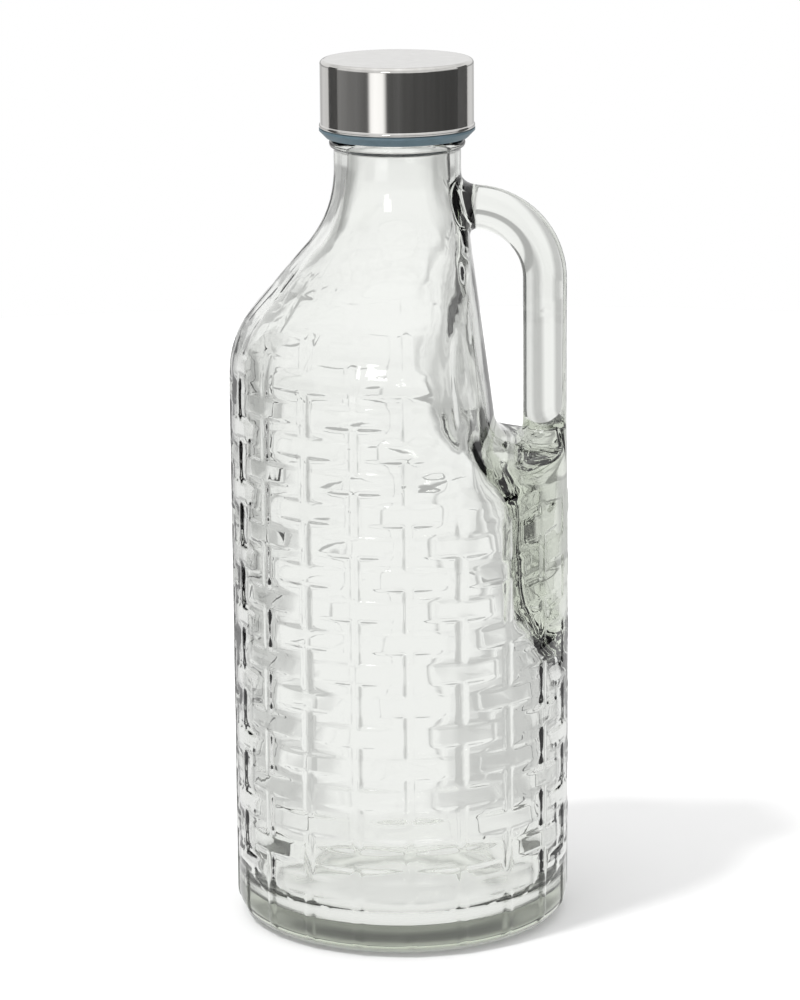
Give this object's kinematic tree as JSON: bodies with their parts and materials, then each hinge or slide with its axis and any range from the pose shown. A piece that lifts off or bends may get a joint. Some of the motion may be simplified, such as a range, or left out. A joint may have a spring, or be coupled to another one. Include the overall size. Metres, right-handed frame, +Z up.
{
  "type": "glass water jug",
  "caption": "Tall clear glass water jug with a basket-weave relief, a moulded side handle beside a finger scoop, and a steel screw cap over the narrow neck.",
  "frame": {"origin": "centre of the base, in the plane of the table that the jug stands on", "axes": "+Z up along the bottle's axis, +X towards the handle"},
  "size_m": [0.1192, 0.1192, 0.3096],
  "materials": {
    "clear_glass": "clear moulded soda-lime glass with a faint green tint",
    "stainless_steel": "drawn stainless steel, finely turned",
    "blue_plastic": "satin slate-blue polypropylene",
    "silicone": "translucent white silicone"
  },
  "bodies": {
    "bottle": {"glass_bottle": "clear_glass"},
    "seal": {"sealing_ring": "silicone"},
    "cap": {"cap_shell": "stainless_steel", "cap_insert": "blue_plastic"}
  },
  "joints": [
    {"name": "cap_rise", "type": "slide", "parent": "bottle", "child": "seal", "axis": [0, 0, 1], "range_m": [0, 0.032]},
    {"name": "cap_turn", "type": "hinge", "parent": "seal", "child": "cap", "pos_m": [0, 0, 0.306], "axis": [0, 0, 1], "range_deg": [0, 1440]}
  ],
  "couplings": [
    {"joint": "cap_rise", "follows": "cap_turn", "m_per_rad": 0.001273}
  ]
}
